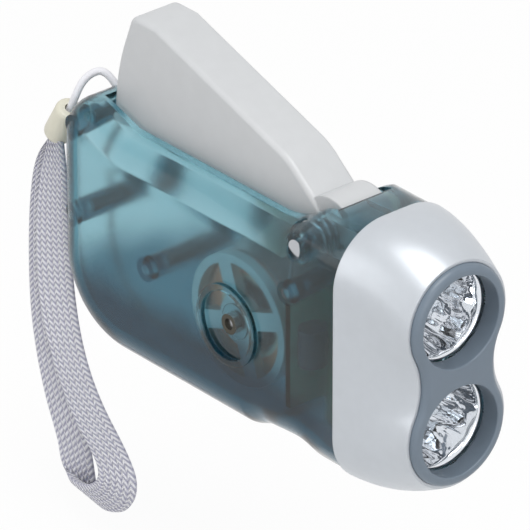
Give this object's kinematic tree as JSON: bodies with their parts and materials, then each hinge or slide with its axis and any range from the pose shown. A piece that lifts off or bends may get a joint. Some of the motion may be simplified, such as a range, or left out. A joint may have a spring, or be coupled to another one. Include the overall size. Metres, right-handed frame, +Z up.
{
  "type": "squeeze lever flashlight",
  "caption": "Palm-sized dynamo flashlight: a hinged squeeze lever on top drives gears and a flywheel generator, with stacked lamps in front and a wrist strap.",
  "frame": {"origin": "middle of the grip: half way between the housing's rear wall and head rim, between its two side faces, and level with the middle between the lamps", "axes": "+X forward along the lamp beams, +Y to the holder's left across the housing, +Z up towards the squeeze lever"},
  "size_m": [0.1091, 0.028, 0.1032],
  "materials": {
    "tinted_shell": "glossy moulded plastic, smoky teal and see-through",
    "silver_shell": "satin silver coating over moulded plastic",
    "slate_bezel": "satin slate-blue moulded plastic",
    "clear_window": "clear polished acrylic",
    "bright_reflector": "vacuum-metallised plastic, faintly dimpled",
    "lamp_resin": "water-clear epoxy",
    "board": "glass-epoxy board with green resist",
    "diode_body": "black moulded epoxy",
    "can_sleeve": "dark shrink sleeve",
    "cell_wrap": "green shrink wrap",
    "lever_plastic": "pale silver-grey moulded plastic, soft sheen",
    "gear_plastic": "natural acetal",
    "steel_pin": "bright ground steel",
    "plate_plastic": "white moulded plastic",
    "flywheel_steel": "zinc-plated pressed steel",
    "magnet_ferrite": "dark sintered ferrite",
    "bush_brass": "turned brass",
    "core_steel": "zinc-plated pressed steel",
    "bobbin_plastic": "off-white moulded plastic",
    "winding_copper": "enamelled copper wire",
    "spring_steel": "bright spring steel wire",
    "screw_steel": "zinc-plated steel",
    "strap_tape": "woven ribbed nylon tape",
    "strap_cord": "braided nylon cord",
    "ferrule_plastic": "cream moulded plastic"
  },
  "bodies": {
    "housing": {"right_housing": "tinted_shell", "left_housing": "tinted_shell", "head_shell": "silver_shell", "face_bezel": "slate_bezel", "upper_window": "clear_window", "lower_window": "clear_window", "upper_reflector": "bright_reflector", "lower_reflector": "bright_reflector", "upper_led": "lamp_resin", "lower_led": "lamp_resin", "led_board": "board", "main_board": "board", "rectifier_diodes": "diode_body", "smoothing_capacitor": "can_sleeve", "rechargeable_cell": "cell_wrap", "first_axle": "steel_pin", "second_axle": "steel_pin", "lever_pivot_pin": "steel_pin", "gear_plate": "plate_plastic", "axle_bushes": "bush_brass", "stator_core": "core_steel", "coil_bobbin": "bobbin_plastic", "coil_winding": "winding_copper", "lever_spring": "spring_steel", "housing_screws": "screw_steel", "plate_screws": "screw_steel", "wrist_strap": "strap_tape", "strap_tether": "strap_cord", "strap_ferrule": "ferrule_plastic"},
    "lever": {"lever": "lever_plastic", "sector_gear": "gear_plastic"},
    "first_gear": {"first_gear": "gear_plastic"},
    "second_gear": {"second_gear": "gear_plastic"},
    "flywheel": {"flywheel": "flywheel_steel", "rotor_magnet": "magnet_ferrite", "flywheel_axle": "steel_pin", "flywheel_pinion": "gear_plastic"}
  },
  "joints": [
    {"name": "lever_squeeze", "type": "hinge", "parent": "housing", "child": "lever", "pos_m": [0.0264, 0, 0.0172], "axis": [0, -1, 0], "range_deg": [0, 20], "stiffness_Nm_per_rad": 0.3, "springref_deg": -20.05, "deforming": ["lever_spring"]},
    {"name": "first_gear_spin", "type": "hinge", "parent": "housing", "child": "first_gear", "pos_m": [0.00146, 0, 0.0028], "axis": [0, -1, 0], "range_deg": [-124.1, 0.1]},
    {"name": "second_gear_spin", "type": "hinge", "parent": "housing", "child": "second_gear", "pos_m": [-0.00126, 0, -0.00889], "axis": [0, -1, 0], "range_deg": [-0.1, 289.4]},
    {"name": "flywheel_spin", "type": "hinge", "parent": "housing", "child": "flywheel", "pos_m": [0.0097, 0, -0.004], "axis": [0, -1, 0], "range_deg": [-675.2, 0.1]}
  ],
  "couplings": [
    {"joint": "first_gear_spin", "follows": "lever_squeeze", "ratio": -6.2},
    {"joint": "second_gear_spin", "follows": "lever_squeeze", "ratio": 14.467},
    {"joint": "flywheel_spin", "follows": "lever_squeeze", "ratio": -33.756}
  ]
}
